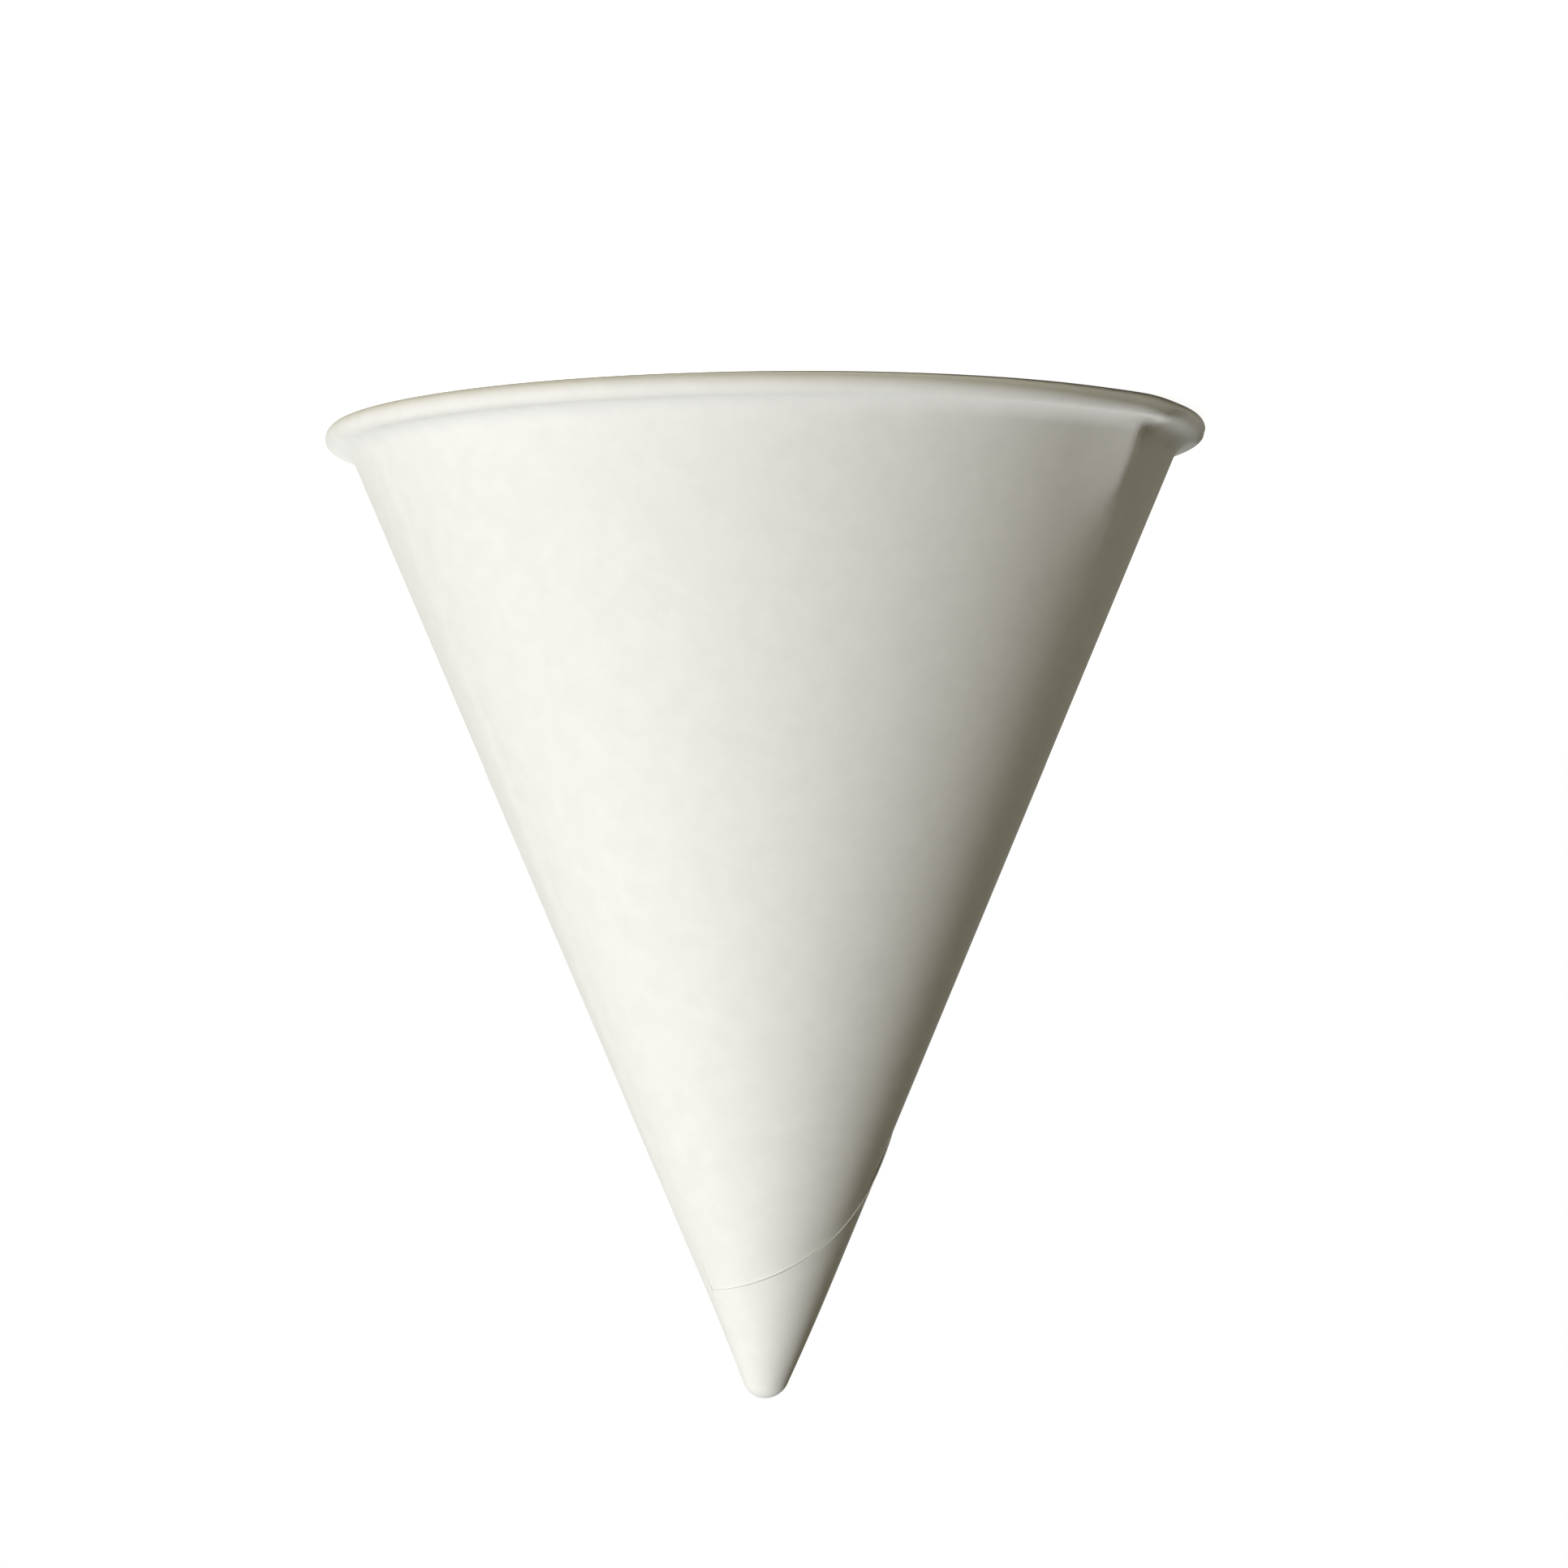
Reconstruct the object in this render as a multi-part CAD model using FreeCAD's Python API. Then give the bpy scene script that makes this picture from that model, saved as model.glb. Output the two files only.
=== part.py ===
import FreeCAD, Part
import math
import os

# Cone paper cup, one sheet of paper wound into a cone, lapped, glued and rolled over at the mouth.
# It stands mouth down on its rolled rim: the origin is the centre of the rim's resting plane, +Z
# points to the tip, and azimuths are turned from -Y towards -X.

# Driving sizes, in millimetres and degrees
rim_diameter = 86.4  # over the rolled rim
cup_height = 95.0  # from the resting plane to the outside of the tip
paper_thickness = 0.15  # one ply
roll_radius = 1.05  # outside radius of the rolled rim's section
roll_land_width = 0.5  # flat that the roll rests on, pressed by the forming tool
roll_mouth = 0.26  # gap between the cut edge of the roll and the wall's first ply
roll_sag = 0.025  # how far the roll's flats may leave its true round
tip_radius = 2.3  # outside rounding of the closed tip
tip_wall = 0.6  # paper gathered at the tip, measured on the axis
seam_distance = 15.2  # from the cone's point to the outer straight edge, in the flat sheet
seam_azimuth = -58.0  # where that edge comes nearest to the point
hidden_edge_azimuth = -64.5  # inner straight edge, covered by the last turn
climb_width = 2.943  # how far round the last turn takes to climb over the hidden edge
climb_bite = 0.03  # foot of the climb, sunk into the first ply
seam_points = 56  # stations along the outer straight edge
cutter_reach = 1.0  # how far cutting bodies stand off the paper on both sides

# Sizes that follow from them
wall_inset = roll_radius - paper_thickness
roll_height = math.sqrt(roll_radius ** 2 - (roll_land_width / 2) ** 2)
roll_centre = (rim_diameter / 2 - roll_radius, roll_height)
tip_centre = (0.0, cup_height - tip_radius)
first_ply_tip_radius = tip_radius - paper_thickness

# The first ply's outer face touches the roll's hollow on one side of the line from tip to roll
# centre and the tip's rounding on the other, which settles the cone's half angle.
centre_drop = tip_centre[1] - roll_centre[1]
centre_distance = math.hypot(roll_centre[0], centre_drop)
crossing = math.asin((first_ply_tip_radius + wall_inset) / centre_distance)
half_angle = math.atan2(roll_centre[0], centre_drop) - crossing
sine = math.sin(half_angle)
cosine = math.cos(half_angle)
point_height = tip_centre[1] + first_ply_tip_radius / sine
roll_slant = roll_centre[0] * sine + (point_height - roll_centre[1]) * cosine


def wall_point(slant, offset):
    """Radius and height at a distance from the cone's point, offset outwards from the first ply."""
    radius = slant * sine + offset * cosine
    height = point_height - slant * cosine + offset * sine
    return (radius, height)


def around(centre, radius, angle):
    """Radius and height on a circle of the section, with the angle in radians."""
    return (centre[0] + radius * math.cos(angle), centre[1] + radius * math.sin(angle))


def in_section(point):
    """A point of the section, placed in the XZ plane."""
    return FreeCAD.Vector(point[0], 0.0, point[1])


def at_azimuth(point, azimuth):
    """A point of the section, turned to an azimuth in degrees."""
    turn = math.radians(azimuth)
    return FreeCAD.Vector(-point[0] * math.sin(turn), -point[0] * math.cos(turn), point[1])


def line(start, end):
    return Part.LineSegment(in_section(start), in_section(end)).toShape()


def arc(centre, radius, start, end):
    middle = (start + end) / 2
    points = [in_section(around(centre, radius, angle)) for angle in (start, middle, end)]
    return Part.Arc(*points).toShape()


def bend(centre, radius, start, end):
    """A stretch of the roll's round as equal flats, few enough to keep the rim light."""
    flat_turn = 2 * math.acos(1 - roll_sag / radius)
    flats = math.ceil(abs(end - start) / flat_turn)
    angles = [start + (end - start) * flat / flats for flat in range(flats + 1)]
    points = [around(centre, radius, angle) for angle in angles]
    return [line(points[flat], points[flat + 1]) for flat in range(flats)]


def turned(edges):
    """The body that a closed section makes when it is turned about the cup's axis."""
    face = Part.Face(Part.Wire(Part.__sortEdges__(edges)))
    return face.revolve(FreeCAD.Vector(0, 0, 0), FreeCAD.Vector(0, 0, 1), 360)


def first_ply():
    """Tip, wall and rolled rim, one ply thick, the rim rolled outwards into an open hollow."""
    straight_up = math.pi / 2
    inner_point = point_height - paper_thickness / sine
    inner_tip_radius = (inner_point - cup_height + tip_wall) / (1 / sine - 1)
    inner_tip_centre = (0.0, inner_point - inner_tip_radius / sine)

    roll_start = math.pi + half_angle
    edge_turn = math.acos((wall_inset - roll_mouth) / roll_radius)
    roll_end = roll_start + 2 * math.pi - edge_turn
    land_turn = math.asin(roll_land_width / 2 / roll_radius)
    land_start = 1.5 * math.pi - land_turn
    land_end = 1.5 * math.pi + land_turn

    outer_tangent = around(tip_centre, first_ply_tip_radius, half_angle)
    inner_tangent = around(inner_tip_centre, inner_tip_radius, half_angle)
    hollow_start = around(roll_centre, wall_inset, roll_start)
    hollow_end = around(roll_centre, wall_inset, roll_end)
    outside_start = around(roll_centre, roll_radius, roll_start)
    outside_end = around(roll_centre, roll_radius, roll_end)
    land_inner = around(roll_centre, roll_radius, land_start)
    land_outer = around(roll_centre, roll_radius, land_end)
    return turned([
        arc(tip_centre, first_ply_tip_radius, straight_up, half_angle),
        line(outer_tangent, hollow_start),
        *bend(roll_centre, wall_inset, roll_start, roll_end),
        line(hollow_end, outside_end),
        *bend(roll_centre, roll_radius, roll_end, land_end),
        line(land_outer, land_inner),
        *bend(roll_centre, roll_radius, land_start, roll_start),
        line(outside_start, inner_tangent),
        arc(inner_tip_centre, inner_tip_radius, half_angle, straight_up),
        line((0.0, cup_height - tip_wall), (0.0, cup_height - paper_thickness)),
    ])


def second_ply_all_round():
    """The last turn of the sheet before its edges are cut, its inside sunk half a ply."""
    straight_up = math.pi / 2
    sunk = paper_thickness / 2
    inside_radius = first_ply_tip_radius - sunk
    return turned([
        arc(tip_centre, tip_radius, straight_up, half_angle),
        line(around(tip_centre, tip_radius, half_angle), wall_point(roll_slant, paper_thickness)),
        line(wall_point(roll_slant, paper_thickness), wall_point(roll_slant, -sunk)),
        line(wall_point(roll_slant, -sunk), around(tip_centre, inside_radius, half_angle)),
        arc(tip_centre, inside_radius, half_angle, straight_up),
        line((0.0, tip_centre[1] + inside_radius), (0.0, cup_height)),
    ])


def beyond_the_seam():
    """Where the last turn is missing: from its straight edge to past the rim.

    The edge is a straight line in the flat sheet, so a station along it lies at a slant and an
    azimuth that Pythagoras and one arctangent give.
    """
    far_slant = roll_slant + 2 * roll_radius
    along_start = seam_distance * math.tan(math.radians(hidden_edge_azimuth - seam_azimuth) * sine)
    along_end = math.sqrt(far_slant ** 2 - seam_distance ** 2)
    outer_slant = far_slant + 2 * cutter_reach
    sections = []
    for station in range(seam_points + 1):
        share = (station / seam_points) ** 1.5
        along = along_start + (along_end - along_start) * share
        slant = math.hypot(seam_distance, along)
        azimuth = seam_azimuth + math.degrees(math.atan2(along, seam_distance) / sine)
        corners = [
            at_azimuth(wall_point(slant, -cutter_reach), azimuth),
            at_azimuth(wall_point(slant, cutter_reach), azimuth),
            at_azimuth(wall_point(outer_slant, cutter_reach), azimuth),
            at_azimuth(wall_point(outer_slant, -cutter_reach), azimuth),
        ]
        sections.append(Part.makePolygon(corners + corners[:1]))
    return Part.makeLoft(sections, True, False)


def above_the_climb():
    """Space over the slope where the last turn climbs over the hidden edge."""
    low = at_azimuth(wall_point(seam_distance, -climb_bite), hidden_edge_azimuth)
    high = at_azimuth(wall_point(roll_slant + 2 * roll_radius, -climb_bite), hidden_edge_azimuth)
    turn = math.radians(hidden_edge_azimuth)
    outwards = at_azimuth((cosine, sine), hidden_edge_azimuth)
    sideways = FreeCAD.Vector(math.cos(turn), -math.sin(turn), 0)
    climb = sideways * climb_width + outwards * (paper_thickness + climb_bite)
    across = climb * 2
    base = Part.makePolygon([low, high, high + across, low + across, low])
    return Part.Face(base).extrude(outwards * 2 * cutter_reach)


def paper_cup():
    last_turn = second_ply_all_round().cut(beyond_the_seam()).cut(above_the_climb())
    return first_ply().fuse(last_turn).removeSplitter()


cup = paper_cup()
os.makedirs("parts", exist_ok=True)
cup.Solids[0].exportStep("parts/paper_cone_cup.step")
print("solids", len(cup.Solids), "valid", cup.isValid(), "volume mm3", round(cup.Volume, 1))
print("half angle", round(math.degrees(half_angle), 2), "cone point at", round(point_height, 2))
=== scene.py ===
# %% [markdown]
# # A cone paper cup
#
# A sheet of white paper is cut flat, wound on a steel cone, glued along its straight edge, pinched
# shut at the tip and rolled over at the mouth. Here the cup stands mouth down on its rolled rim, the
# only way it stays up by itself, and the camera hangs upside down so that the picture shows the
# mouth at the top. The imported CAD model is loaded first, because every size below comes from its box.

# %% Load the cup's CAD frame
import math

import bmesh
import bpy
from mathutils import Matrix, Vector


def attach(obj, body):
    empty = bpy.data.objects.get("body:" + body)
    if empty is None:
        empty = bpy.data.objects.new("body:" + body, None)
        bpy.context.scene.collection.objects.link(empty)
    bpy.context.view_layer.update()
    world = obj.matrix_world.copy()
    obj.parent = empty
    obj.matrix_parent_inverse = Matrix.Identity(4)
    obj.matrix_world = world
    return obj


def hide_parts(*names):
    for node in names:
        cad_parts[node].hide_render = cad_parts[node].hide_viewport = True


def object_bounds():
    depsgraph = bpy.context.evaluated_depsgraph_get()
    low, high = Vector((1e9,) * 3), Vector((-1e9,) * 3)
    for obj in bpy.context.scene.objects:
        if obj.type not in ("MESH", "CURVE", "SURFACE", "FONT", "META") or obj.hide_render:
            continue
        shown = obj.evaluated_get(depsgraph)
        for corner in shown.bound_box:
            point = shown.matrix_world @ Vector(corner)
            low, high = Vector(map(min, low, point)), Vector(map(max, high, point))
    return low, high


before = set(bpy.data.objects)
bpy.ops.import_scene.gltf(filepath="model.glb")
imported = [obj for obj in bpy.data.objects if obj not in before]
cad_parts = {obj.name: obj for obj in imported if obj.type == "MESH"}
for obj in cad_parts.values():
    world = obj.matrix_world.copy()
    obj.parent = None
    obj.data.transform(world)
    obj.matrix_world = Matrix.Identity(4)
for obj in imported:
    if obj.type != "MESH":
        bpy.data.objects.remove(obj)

cad_low, cad_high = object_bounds()
print("CAD box in metres", tuple(cad_low), tuple(cad_high))

# %% [markdown]
# ## The cup's section
#
# Half of the cup's section is a straight wall between two rounds: the rolled rim, which curls
# outwards like a tiny scroll, and the blunt tip. The wall is the line that touches both rounds, so
# its slope isn't chosen but follows from the rim, the height and the two radii. All sizes are in
# metres, and the paper is drawn as thick as it is.

# %% Sizes of the paper and the section
MM = 0.001
ply = 0.15 * MM
roll_radius = 1.05 * MM
roll_land_width = 0.5 * MM
tip_radius = 2.3 * MM

rim_radius = (cad_high.y - cad_low.y) / 2
cup_height = cad_high.z
roll_hollow_radius = roll_radius - ply
roll_height = math.sqrt(roll_radius ** 2 - (roll_land_width / 2) ** 2)
roll_centre = (rim_radius - roll_radius, roll_height)
tip_centre = (0.0, cup_height - tip_radius)
first_ply_tip_radius = tip_radius - ply

centre_drop = tip_centre[1] - roll_centre[1]
centre_distance = math.hypot(roll_centre[0], centre_drop)
crossing = math.asin((first_ply_tip_radius + roll_hollow_radius) / centre_distance)
half_angle = math.atan2(roll_centre[0], centre_drop) - crossing
sine, cosine = math.sin(half_angle), math.cos(half_angle)
point_height = tip_centre[1] + first_ply_tip_radius / sine
roll_slant = roll_centre[0] * sine + (point_height - roll_centre[1]) * cosine
tip_slant = first_ply_tip_radius * cosine / sine
print("half angle", round(math.degrees(half_angle), 2), "wall", round(roll_slant / MM, 1), "mm")


# %% Points of the section
def around(centre, radius, angle):
    """Radius and height on a circle of the section."""
    return (centre[0] + radius * math.cos(angle), centre[1] + radius * math.sin(angle))


def on_wall(slant, offset):
    """Radius and height at a distance from the cone's point, offset out of the first ply.

    Below the tip's own slant the paper follows the blunt tip, down to the axis.
    """
    if slant > tip_slant:
        return (slant * sine + offset * cosine, point_height - slant * cosine + offset * sine)
    from_pole = slant / tip_slant * (math.pi / 2 - half_angle)
    return around(tip_centre, first_ply_tip_radius + offset, math.pi / 2 - from_pole)


def press(point):
    """The rim's roll is flat where it stands."""
    return (point[0], max(point[1], 0.0))


print("wall runs from", on_wall(tip_slant, 0), "to", on_wall(roll_slant, 0))


# %% [markdown]
# ## Helpers for working as by hand
#
# Operators act on whatever is selected, and the loaded frame is selected, so each piece starts from
# an empty selection. In edit mode the rings are picked by their place, which stays true when a
# vertex count changes.

# %% Selection helpers
def nothing_selected():
    bpy.ops.object.select_all(action="DESELECT")


def edit(piece, mode="VERT"):
    bpy.context.view_layer.objects.active = piece
    bpy.ops.object.mode_set(mode="EDIT")
    bpy.ops.mesh.select_mode(type=mode)


def object_mode():
    bpy.ops.object.mode_set(mode="OBJECT")


def select_where(piece, test):
    """Selects the vertices whose place passes the test, in edit mode."""
    bpy.ops.mesh.select_all(action="DESELECT")
    mesh = bmesh.from_edit_mesh(piece.data)
    for vertex in mesh.verts:
        vertex.select = test(vertex.co)
    mesh.select_flush(True)
    bmesh.update_edit_mesh(piece.data)


def azimuth_of(place):
    """Degrees round the cup, 0 on the side that the camera sees, growing to the picture's right."""
    return math.degrees(math.atan2(-place.x, -place.y))


# %% [markdown]
# ## The first ply, rolled at the rim
#
# A lathe shape could be one spun outline, but extruding a ring again and again keeps the rings
# clean and lets each step be read. The ring starts inside the tip, goes down the inner face of the
# paper, round the rolled rim, and up the outer face to the tip again. The roll's cut edge is tucked
# in and pressed on the wall, so from outside there is a soft valley between roll and wall and no
# slit. That valley is an arc that touches both.

# %% Rings from the inside of the tip to the outside
ring_points = 360
tip_rings = 12
inner_wall_rings = 30
outer_wall_rings = 44
roll_rings = 30
valley_rings = 14
valley_radius = 2.5 * MM

centres_apart = roll_radius + valley_radius
valley_aside = roll_hollow_radius - valley_radius
valley_rise = math.sqrt(centres_apart ** 2 - valley_aside ** 2)
valley_centre = (
    roll_centre[0] - valley_aside * cosine - valley_rise * sine,
    roll_centre[1] - valley_aside * sine + valley_rise * cosine,
)
towards_valley = math.atan2(valley_centre[1] - roll_centre[1], valley_centre[0] - roll_centre[0])
roll_start = half_angle - math.pi
valley_slant = roll_slant - valley_rise


def between(start, end, steps):
    """Even steps from start to end, without the start itself."""
    return [start + (end - start) * step / steps for step in range(1, steps + 1)]


rings = []
for slant in between(0, tip_slant, tip_rings):
    rings.append(on_wall(slant, -ply))
for slant in between(tip_slant, roll_slant, inner_wall_rings):
    rings.append(on_wall(slant, -ply))
for angle in between(roll_start, towards_valley, roll_rings):
    rings.append(press(around(roll_centre, roll_radius, angle)))
for angle in between(towards_valley - math.pi, half_angle - math.pi, valley_rings):
    rings.append(around(valley_centre, valley_radius, angle))
for slant in between(valley_slant, tip_slant, outer_wall_rings):
    rings.append(on_wall(slant, 0))
for slant in between(tip_slant, 0, tip_rings)[:-1]:
    rings.append(on_wall(slant, 0))
print(len(rings), "rings of", ring_points, "points")


# %% Extrude them
nothing_selected()
bpy.ops.mesh.primitive_circle_add(
    vertices=ring_points, radius=rings[0][0], location=(0, 0, rings[0][1]))
first_ply = bpy.context.object
first_ply.name = "first_ply_and_rim"
bpy.ops.object.transform_apply(location=True, rotation=True, scale=True)
edit(first_ply)
bpy.ops.mesh.select_all(action="SELECT")
for (radius, height), (last_radius, last_height) in zip(rings[1:], rings[:-1]):
    bpy.ops.mesh.extrude_region_move()
    scale = radius / last_radius
    bpy.ops.transform.resize(value=(scale, scale, 1), center_override=(0, 0, height))
    bpy.ops.transform.translate(value=(0, 0, height - last_height))
bpy.ops.mesh.merge(type="CENTER")
first_height = rings[0][1]
select_where(first_ply, lambda place: abs(place.z - first_height) < ply / 4 and place.xy.length > 0)
bpy.ops.mesh.merge(type="CENTER")
bpy.ops.mesh.select_all(action="SELECT")
bpy.ops.mesh.normals_make_consistent(inside=False)
object_mode()
print("first ply", len(first_ply.data.polygons), "faces")

# %% [markdown]
# ## The crease and the kinked rim
#
# The real cup was gripped once, on the picture's right. Left of a soft crease the wall is nearly flat,
# right of it the wall turns away from the light at once, and the crease fades out a centimetre and a
# half from the rim. Proportional editing moves a few points and lets their neighbours follow less
# and less, which is how such a fold is pushed into paper. Two pushes are enough: a short high one
# beside the rim and a longer low one that carries the crease up the wall. Beyond the crease the
# fingers also pressed the roll to a plain flare, so the valley beside it is smoothed away there.

# %% Push the crease out
crease_azimuth = 58.0
crease_slope = 0.1
crease_half_width = 0.55
crease_foot = 3 * MM
push_azimuth = crease_azimuth + 3
crease_pushes = ((6 * MM, 0.85 * MM, 8 * MM), (9.5 * MM, 0.45 * MM, 12 * MM))


def push(piece, test, move, reach, falloff):
    """Moves the chosen vertices and, less and less, what lies within reach of them."""
    edit(piece)
    select_where(piece, test)
    bpy.ops.transform.translate(
        value=move, use_proportional_edit=True, proportional_edit_falloff=falloff,
        proportional_size=reach)
    object_mode()


def out_of_the_cup(azimuth):
    """Level direction away from the cup's axis."""
    turn = math.radians(azimuth)
    return Vector((-math.sin(turn), -math.cos(turn), 0))


def crease_up_to(top):
    """Test for the crease, which leans a little, in degrees a millimetre, away from the rim."""
    def on_crease(place):
        azimuth = crease_azimuth + crease_slope * place.z / MM
        beside = abs(azimuth_of(place) - azimuth)
        return beside < crease_half_width and crease_foot < place.z < top
    return on_crease


for top, height, reach in crease_pushes:
    push(first_ply, crease_up_to(top), out_of_the_cup(push_azimuth) * height, reach, "SHARP")
print("pushed the crease out at", crease_azimuth, "degrees")

# %% Press the roll flat beyond the crease
pinch_start, pinch_end = 61.0, 89.0
pinch_passes = 120
pinch_strength = 0.5
wall_margin = 0.02 * MM


def in_pinch(place):
    """Outside of the roll and of the valley beside it, beyond the crease."""
    wall_radius = (point_height - place.z) * sine / cosine
    beside = place.xy.length > wall_radius + wall_margin and place.z > roll_height
    return beside and pinch_start < azimuth_of(place) < pinch_end


edit(first_ply)
select_where(first_ply, in_pinch)
bpy.ops.mesh.vertices_smooth(factor=pinch_strength, repeat=pinch_passes)
object_mode()
print("pressed the roll flat from", pinch_start, "to", pinch_end, "degrees")

# %% [markdown]
# ## The last turn
#
# A cone unrolls into a flat sector, so the last turn of the sheet is drawn flat, cut by one straight
# line and then wound. The straight cut turns into the long curved lap that starts near the tip, goes
# round the back and meets the rim there. Cutting it on the finished cone would take a row of small
# cuts; in the flat it is one bisect. A few more bisects beside the cut leave rows that can be lifted,
# and the rows at the tip and in the valley match the first ply's. All lengths in the two edge
# profiles are millimetres: first the distance from the cut, then the height.

# %% Draw the blank flat and cut its straight edge
seam_distance = 15.2 * MM
seam_azimuth = -58.0
hidden_edge_azimuth = -64.5
climb_width = 2.9 * MM
blank_rows = 62
blank_columns = 360
blank_turn = 2 * math.pi * sine
blank_foot = 1.6 * MM
blank_reach = valley_slant + blank_foot
foot_rows = 5
tucked_edge = ((0.0, -0.12), (0.35, -0.085), (0.8, -0.04), (1.3, -0.012), (1.9, 0.0))
sprung_edge = (
    (0.0, 0.06), (0.15, 0.055), (0.35, 0.04), (0.6, 0.02), (0.9, 0.006), (1.3, 0.0))
edge_margins = sorted({margin for margin, _ in tucked_edge + sprung_edge if margin > 0})
snap = 0.0005 * MM
same_point = 0.0001 * MM

nothing_selected()
bpy.ops.mesh.primitive_plane_add(
    size=blank_reach, location=(blank_reach / 2, blank_reach / 2, 0))
last_turn = bpy.context.object
last_turn.name = "last_turn"
bpy.ops.object.transform_apply(location=True, rotation=True, scale=True)
edit(last_turn)
select_where(last_turn, lambda place: place.y > blank_reach / 2)
bpy.ops.mesh.delete(type="VERT")
bpy.ops.mesh.select_all(action="SELECT")
bpy.ops.mesh.subdivide(number_cuts=blank_rows - 1)
extra_rows = between(0, tip_slant, tip_rings) + between(valley_slant - snap, blank_reach, foot_rows)
for slant in extra_rows:
    bpy.ops.mesh.select_all(action="SELECT")
    bpy.ops.mesh.bisect(plane_co=(slant, 0, 0), plane_no=(1, 0, 0), threshold=snap)
bpy.ops.mesh.select_all(action="SELECT")
bpy.ops.mesh.spin(
    steps=blank_columns, angle=blank_turn, center=(0, 0, 0), axis=(0, 0, -1))
bpy.ops.mesh.select_all(action="SELECT")
bpy.ops.mesh.remove_doubles(threshold=same_point)

foot_turn = math.radians(360 + hidden_edge_azimuth - seam_azimuth) * sine
across_seam = Vector((math.cos(foot_turn), math.sin(foot_turn), 0))
bpy.ops.mesh.select_all(action="SELECT")
bpy.ops.mesh.bisect(
    plane_co=across_seam * seam_distance, plane_no=across_seam, clear_outer=True, threshold=snap)
for margin in edge_margins:
    bpy.ops.mesh.select_all(action="SELECT")
    bpy.ops.mesh.bisect(
        plane_co=across_seam * (seam_distance - margin * MM), plane_no=across_seam, threshold=snap)
object_mode()
print("blank", len(last_turn.data.polygons), "faces")


# %% [markdown]
# ## Winding it
#
# Every point of the flat blank has a distance from the cone's point and an angle. The distance stays,
# and the angle, divided by the sine of the cone's half angle, becomes the azimuth. Where the last
# turn climbs over the sheet's hidden first edge it rises by one ply over three millimetres. The glue
# stops a little short of the straight cut, so the cut stands off the wall by a hair. Round the tip it
# starts tucked down, springs off where the paper is wound tightest, and lies flat again at the back.
# Down in the valley both plies run into the roll together, so the last turn sinks out of sight there.

# %% Height of the last turn over the first
tip_share = 0.25
free_edge_lift = 0.05 * MM
free_edge_width = 1.0 * MM
ridge_fades = (21 * MM, 27 * MM)
corner_fade = 1.3


def climb(slant, turn):
    """Share of a ply's height, 0 at the hidden edge and 1 where the last turn lies on two plies."""
    run = slant * sine * turn
    share = min(run / climb_width, 1.0)
    rise = share * share * (3 - 2 * share)
    from_tip = (seam_distance * (1 + tip_share) - slant) / (seam_distance * tip_share)
    return max(rise, min(max(from_tip, 0.0), 1.0))


def along_profile(profile, margin):
    """Height from a row of (margin, height) pairs, straight between two pairs."""
    for (near, low), (far, high) in zip(profile, profile[1:]):
        if margin < far:
            return low + (high - low) * (margin - near) / (far - near)
    return profile[-1][1]


def beside_the_cut(place, slant, turn):
    """How far the last turn stands off its true surface beside the straight cut."""
    margin = max(seam_distance - place.dot(across_seam), 0.0)
    tucked = along_profile(tucked_edge, margin / MM) * MM
    sprung = along_profile(sprung_edge, margin / MM) * MM
    free = free_edge_lift * max(1 - margin / free_edge_width, 0.0) ** 2
    near, far = ridge_fades
    near_tip = min(max((far - slant) / (far - near), 0.0), 1.0)
    from_corner = min(max(2 * math.pi - turn, 0.0) / corner_fade, 1.0)
    round_the_tip = tucked + (sprung - tucked) * from_corner
    return round_the_tip * near_tip + free * (1 - near_tip)


print("the cut stands off by", free_edge_lift / MM, "mm at the back")

# %% Wind the blank round the cone
hidden_share = 0.12
foot_share = 0.1
last_turn_body = ply * 0.8
wound_gap = 0.001 * MM


def wind(place):
    """Where a point of the flat blank comes to lie on the cone."""
    slant = math.hypot(place.x, place.y)
    turn = max(math.atan2(place.y, place.x), 0.0) / sine
    lift = ply * ((1 + hidden_share) * climb(slant, turn) - hidden_share)
    lift += beside_the_cut(place, slant, turn)
    down_the_valley = max(slant - valley_slant, 0.0)
    rolled_in = min(down_the_valley / blank_foot, 1.0)
    lift = lift * (1 - rolled_in) - foot_share * ply * rolled_in
    lift += valley_radius - math.sqrt(valley_radius ** 2 - down_the_valley ** 2)
    radius, height = on_wall(slant, lift)
    azimuth = math.radians(hidden_edge_azimuth) - turn
    return Vector((-radius * math.sin(azimuth), -radius * math.cos(azimuth), height))


for vertex in last_turn.data.vertices:
    vertex.co = wind(vertex.co)
edit(last_turn)
bpy.ops.mesh.select_all(action="SELECT")
bpy.ops.mesh.remove_doubles(threshold=wound_gap)
bpy.ops.mesh.select_all(action="SELECT")
bpy.ops.mesh.normals_make_consistent(inside=False)
object_mode()

nothing_selected()
last_turn.select_set(True)
bpy.context.view_layer.objects.active = last_turn
bpy.ops.object.modifier_add(type="SOLIDIFY")
last_turn.modifiers[-1].thickness = last_turn_body
last_turn.modifiers[-1].offset = -1
bpy.ops.object.modifier_apply(modifier=last_turn.modifiers[-1].name)
print("last turn", len(last_turn.data.polygons), "faces")

# %% [markdown]
# ## Leaning tip and smooth shading
#
# The real tip sits a millimetre to one side of the rim's centre, and its last centimetre is bent a
# little further the same way. Both plies lean together, each vertex by its height, and the bend is
# added near the point. Smooth shading by angle keeps the paper's cut edges crisp.

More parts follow.
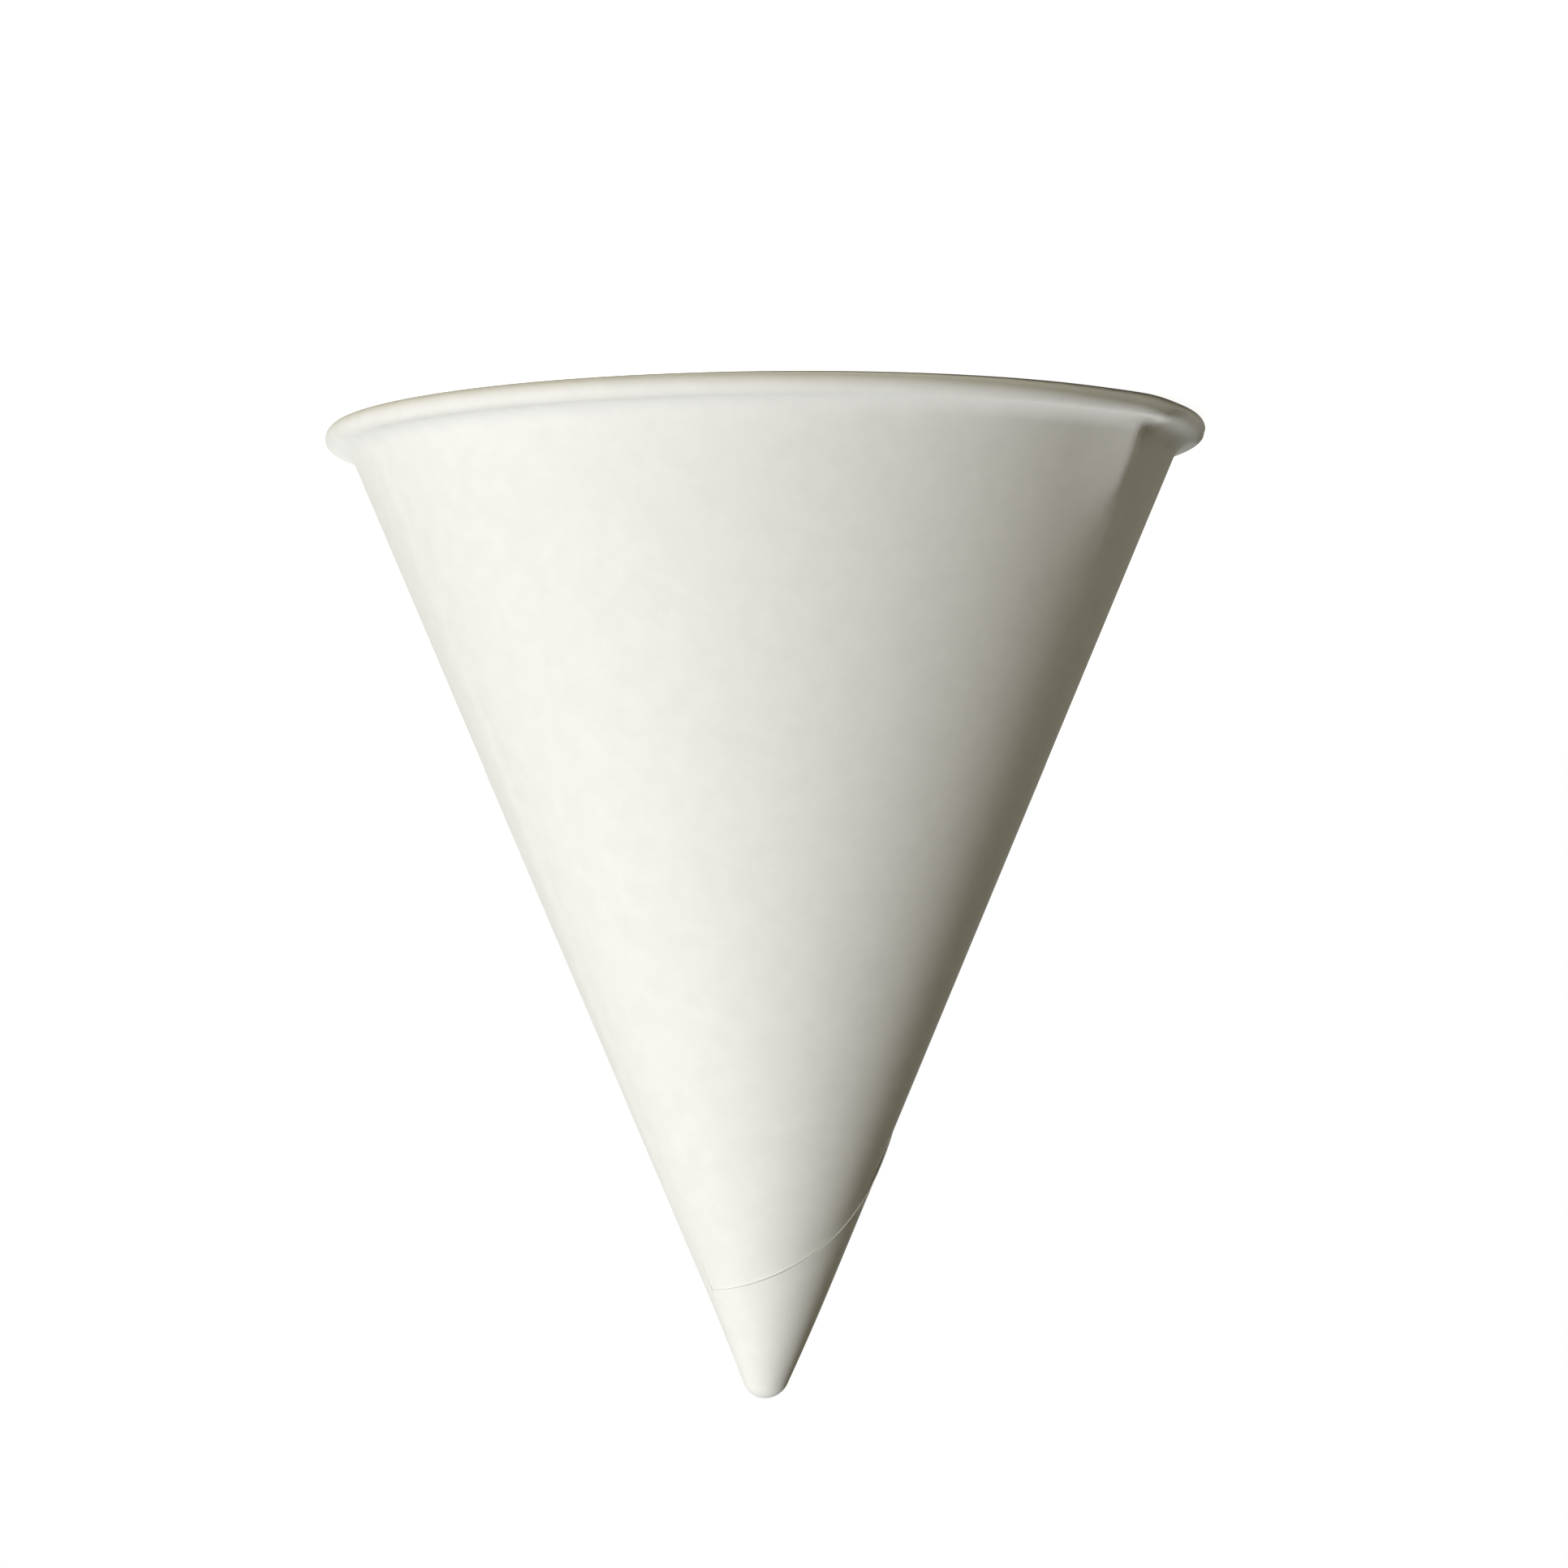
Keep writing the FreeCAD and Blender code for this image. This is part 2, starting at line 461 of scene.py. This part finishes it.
# %% Lean and shade
tip_lean = 0.85 * MM
tip_hook = 0.3 * MM
hook_start = 84 * MM
smooth_angle = math.radians(35)
for piece in (first_ply, last_turn):
    for vertex in piece.data.vertices:
        above_roll = max(vertex.co.z - 2 * roll_radius, 0.0)
        hooked = max(vertex.co.z - hook_start, 0.0) / (cup_height - hook_start)
        vertex.co.x += tip_lean * above_roll / cup_height + tip_hook * hooked * hooked
    nothing_selected()
    piece.select_set(True)
    bpy.context.view_layer.objects.active = piece
    bpy.ops.object.shade_smooth_by_angle(angle=smooth_angle)
print("leaned by", tip_lean / MM, "mm, hooked by", tip_hook / MM, "mm")

# %% [markdown]
# ## White paper
#
# Uncoated white paper is never one flat white. Its fibres lie in small clouds a few millimetres
# wide, which make it a little lighter and darker, and each fibre makes the surface uneven. Two
# noises do that: a wide one for the clouds and a fine one for the fibres. Both read Object
# coordinates, so nothing stretches at the tip.

# %% Make the paper
cloud_scale = 420
fibre_scale = 2600
fibre_height = 0.03 * MM


def paper_material():
    """Matt white paper, with its clouds in the colour and its fibres in the surface."""
    material = bpy.data.materials.new("white_paper")
    material.use_nodes = True
    nodes, links = material.node_tree.nodes, material.node_tree.links
    shader = nodes["Principled BSDF"]
    place = nodes.new("ShaderNodeTexCoord")

    clouds = nodes.new("ShaderNodeTexNoise")
    clouds.inputs["Scale"].default_value = cloud_scale
    clouds.inputs["Detail"].default_value = 5
    clouds.inputs["Roughness"].default_value = 0.6
    links.new(place.outputs["Object"], clouds.inputs["Vector"])

    fibres = nodes.new("ShaderNodeTexNoise")
    fibres.inputs["Scale"].default_value = fibre_scale
    fibres.inputs["Detail"].default_value = 4
    fibres.inputs["Distortion"].default_value = 1.2
    links.new(place.outputs["Object"], fibres.inputs["Vector"])

    tint = nodes.new("ShaderNodeValToRGB")
    tint.color_ramp.elements[0].position = 0.25
    tint.color_ramp.elements[0].color = (0.88, 0.88, 0.86, 1)
    tint.color_ramp.elements[1].position = 0.75
    tint.color_ramp.elements[1].color = (0.93, 0.93, 0.91, 1)
    links.new(clouds.outputs["Fac"], tint.inputs["Fac"])
    links.new(tint.outputs["Color"], shader.inputs["Base Color"])

    rough = nodes.new("ShaderNodeMapRange")
    rough.inputs["To Min"].default_value = 0.72
    rough.inputs["To Max"].default_value = 0.92
    links.new(fibres.outputs["Fac"], rough.inputs["Value"])
    links.new(rough.outputs["Result"], shader.inputs["Roughness"])

    both = nodes.new("ShaderNodeMix")
    both.inputs["Factor"].default_value = 0.45
    links.new(fibres.outputs["Fac"], both.inputs["A"])
    links.new(clouds.outputs["Fac"], both.inputs["B"])
    bump = nodes.new("ShaderNodeBump")
    bump.inputs["Strength"].default_value = 0.35
    bump.inputs["Distance"].default_value = fibre_height
    links.new(both.outputs["Result"], bump.inputs["Height"])
    links.new(bump.outputs["Normal"], shader.inputs["Normal"])

    shader.inputs["Specular IOR Level"].default_value = 0.3
    shader.inputs["Sheen Weight"].default_value = 0.08
    shader.inputs["Sheen Roughness"].default_value = 0.6
    return material


white_paper = paper_material()
for piece in (first_ply, last_turn):
    piece.data.materials.clear()
    piece.data.materials.append(white_paper)
    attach(piece, "root")
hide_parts("paper_cone_cup")
print("made", white_paper.name)

# %% [markdown]
# ## Floor and backdrop
#
# The cup was photographed on pure white. The floor takes the lamps' light and the cup's shadow as a
# plain pale floor does, and what the camera sees of it is lifted to white by added emission. The sky
# is white to the camera and a dim warm tone to everything else, so it doesn't wash out the shaded
# side, and the side away from the lamp turns a little warmer, as in the photo.

# %% Make the floor
floor_radius = 0.6
floor_lift = 0.92

nothing_selected()
bpy.ops.mesh.primitive_circle_add(
    vertices=96, radius=floor_radius, fill_type="NGON", location=(0, 0, 0))
floor = bpy.context.object
floor.name = "floor"
floor_material = bpy.data.materials.new("pale_floor")
floor_material.use_nodes = True
nodes, links = floor_material.node_tree.nodes, floor_material.node_tree.links
shader = nodes["Principled BSDF"]
shader.inputs["Base Color"].default_value = (0.74, 0.705, 0.6, 1)
shader.inputs["Roughness"].default_value = 0.9
shader.inputs["Specular IOR Level"].default_value = 0.0
rays = nodes.new("ShaderNodeLightPath")
lift = nodes.new("ShaderNodeMath")
lift.operation = "MULTIPLY"
lift.inputs[1].default_value = floor_lift
links.new(rays.outputs["Is Camera Ray"], lift.inputs[0])
shader.inputs["Emission Color"].default_value = (1, 1, 1, 1)
links.new(lift.outputs[0], shader.inputs["Emission Strength"])
floor.data.materials.append(floor_material)
print("floor", 2 * floor_radius, "m across")

# %% Make the sky
fill_level = 0.055

world = bpy.data.worlds.new("studio")
bpy.context.scene.world = world
world.use_nodes = True
nodes, links = world.node_tree.nodes, world.node_tree.links
background = nodes["Background"]
rays = nodes.new("ShaderNodeLightPath")
strength = nodes.new("ShaderNodeMapRange")
strength.inputs["To Min"].default_value = fill_level
strength.inputs["To Max"].default_value = 1.0
links.new(rays.outputs["Is Camera Ray"], strength.inputs["Value"])
links.new(strength.outputs["Result"], background.inputs["Strength"])
sky = nodes.new("ShaderNodeMix")
sky.data_type = "RGBA"
sky.inputs["A"].default_value = (1.0, 0.92, 0.5, 1)
sky.inputs["B"].default_value = (1, 1, 1, 1)
links.new(rays.outputs["Is Camera Ray"], sky.inputs["Factor"])
links.new(sky.outputs["Result"], background.inputs["Color"])
print("sky lights the cup with", fill_level)

# %% [markdown]
# ## Light
#
# One lamp hangs in front of the cup and to the picture's left, so the wall is brightest a third of
# the way from its left edge and falls off to grey at the right, as in the photo. It is small and far
# off, which keeps the crease and the lap's edge crisp. A second, wider one stands low behind the cup,
# where the photo doesn't look, so that the back isn't black.

# %% Hang the lamps
def lamp(name, azimuth, elevation, distance, size, power):
    """An area lamp that faces the middle of the cup."""
    rise = math.radians(elevation)
    target = Vector((0, 0, cup_height / 2))
    towards = out_of_the_cup(azimuth) * math.cos(rise) + Vector((0, 0, math.sin(rise)))
    data = bpy.data.lights.new(name, "AREA")
    data.shape = "DISK"
    data.size = size
    data.energy = power
    lit = bpy.data.objects.new(name, data)
    bpy.context.scene.collection.objects.link(lit)
    lit.location = target + towards * distance
    lit.rotation_mode = "QUATERNION"
    lit.rotation_quaternion = towards.to_track_quat("Z", "Y")
    print("lamp", name, "at", azimuth, "degrees,", power, "W")


lamp("key", azimuth=-45, elevation=36, distance=1.4, size=0.3, power=16.5)
lamp("behind", azimuth=180, elevation=14, distance=1.4, size=0.7, power=9.0)

# %% [markdown]
# ## Camera
#
# The photo's camera was found from the cup's own outline: how open the rim's ellipse is gives the
# height, and the width of the cup in the frame gives the lens. It looks along +Y and down a little,
# and it is rolled by half a turn, because the photo shows the cup mouth up. The cup stands a few
# pixels beside the middle of the frame, so the camera is moved sideways by as much.

# %% Set the camera
frame_pixels = 1932
focal_pixels = 6290.0
sensor = 36.0
camera_distance = 0.5
camera_height = 61.28 * MM
camera_pitch = math.radians(3.0)
camera_roll = math.radians(-0.692)
axis_offset_pixels = 18.0

camera_data = bpy.data.cameras.new("camera")
camera_data.sensor_width = sensor
camera_data.lens = focal_pixels / frame_pixels * sensor
camera = bpy.data.objects.new("camera", camera_data)
bpy.context.scene.collection.objects.link(camera)
bpy.context.scene.camera = camera

forward = Vector((0, math.cos(camera_pitch), -math.sin(camera_pitch)))
level_right = Vector((-1, 0, 0))
level_down = Vector((0, math.sin(camera_pitch), math.cos(camera_pitch)))
right = level_right * math.cos(camera_roll) - level_down * math.sin(camera_roll)
down = level_right * math.sin(camera_roll) + level_down * math.cos(camera_roll)
turned = Matrix((right, -down, -forward)).transposed().to_4x4()
sideways = -axis_offset_pixels * camera_distance / focal_pixels
camera.matrix_world = Matrix.Translation((sideways, -camera_distance, camera_height)) @ turned
camera_data.clip_start = 0.01
camera_data.clip_end = 50

bpy.context.scene.view_settings.view_transform = "Standard"
print("camera", round(camera_data.lens, 1), "mm lens,", camera_distance, "m away")
